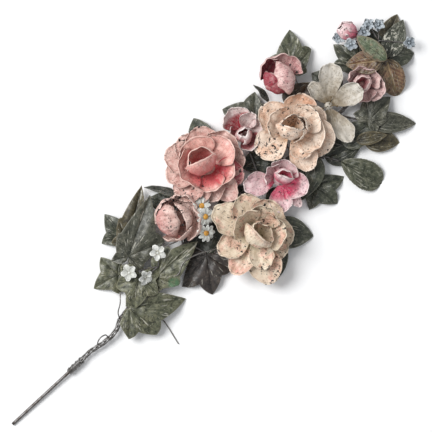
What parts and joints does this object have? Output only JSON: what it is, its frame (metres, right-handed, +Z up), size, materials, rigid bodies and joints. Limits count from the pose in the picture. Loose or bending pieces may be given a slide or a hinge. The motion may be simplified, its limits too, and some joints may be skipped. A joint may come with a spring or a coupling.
{
  "type": "painted tin flower spray",
  "caption": "Painted tin flower spray: roses, buds, a lily, daisies and ivy leaves wired along a bare stem rod, lying on a surface.",
  "frame": {"origin": "middle of the spray's footprint, on the surface that it lies on", "axes": "+X along the spray from the bare stem rod's cut end to the tip, +Z up from the surface, flowers facing up"},
  "size_m": [0.5622, 0.1802, 0.0527],
  "materials": {
    "ivy_green": "satin olive green paint, flecked with age",
    "dark_green": "satin green-black paint",
    "bronze_brown": "satin brown and olive paint",
    "rose_pink": "matt pink paint, chipped at the rims",
    "crimson": "matt crimson and blush paint",
    "peach": "matt peach paint, chipped at the rims",
    "cream": "matt cream paint, chipped at the rims",
    "white": "matt off-white paint",
    "pale_blue": "matt grey-blue paint",
    "bare_wire": "dark bare steel wire"
  },
  "bodies": {
    "root": {"stem_rod": "bare_wire", "stem_binding": "bare_wire", "small_bud": "rose_pink", "dusty_rose": "rose_pink", "white_lily": "white", "pink_white_rose": "rose_pink", "red_white_rose": "crimson", "crimson_bud": "crimson", "blush_bud": "rose_pink", "cream_rose_heart": "cream", "cream_rose_outer": "cream", "peach_rose_heart": "peach", "peach_rose_outer": "peach", "pink_rose_heart": "rose_pink", "pink_rose_outer": "rose_pink", "florets_white": "white", "daisies": "white", "florets_blue_inner": "pale_blue", "florets_blue_tip": "pale_blue", "wire_bundle": "bare_wire", "light_leaf": "ivy_green", "leaf_bronze_inner": "bronze_brown", "leaf_bronze_low": "bronze_brown", "leaf_tip_spotted": "ivy_green", "leaf_tip_back": "dark_green", "leaf_tip_low": "dark_green", "leaf_tip_small": "ivy_green", "ivy_upper_right": "dark_green", "leaf_under_dusty": "dark_green", "leaf_behind_lily": "dark_green", "ivy_top_right": "ivy_green", "leaf_bronze_top": "bronze_brown", "leaf_narrow_top": "dark_green", "ivy_top_middle": "ivy_green", "leaf_over_rose": "ivy_green", "ivy_over_foot": "ivy_green", "ivy_centre": "ivy_green", "ivy_grey_front": "ivy_green", "ivy_grey_back": "dark_green", "leaf_edge_on": "dark_green", "leaf_behind_bud": "dark_green", "ivy_left": "ivy_green", "ivy_top_left": "dark_green", "ivy_foot": "ivy_green", "ivy_bronze": "bronze_brown", "leaf_dark_left": "dark_green", "leaf_between": "dark_green", "leaf_dark_middle": "dark_green", "leaf_grey_middle": "dark_green", "leaf_cream_right": "dark_green", "leaf_cream_low": "dark_green", "leaf_wide_dark": "dark_green", "ivy_low": "dark_green", "leaf_serrated_low": "ivy_green", "leaf_narrow_curl": "ivy_green", "ivy_right_low": "dark_green", "leaf_long_point": "ivy_green", "leaf_point_low": "dark_green", "leaf_under_lily": "dark_green", "leaf_low_right": "dark_green"}
  },
  "joints": []
}
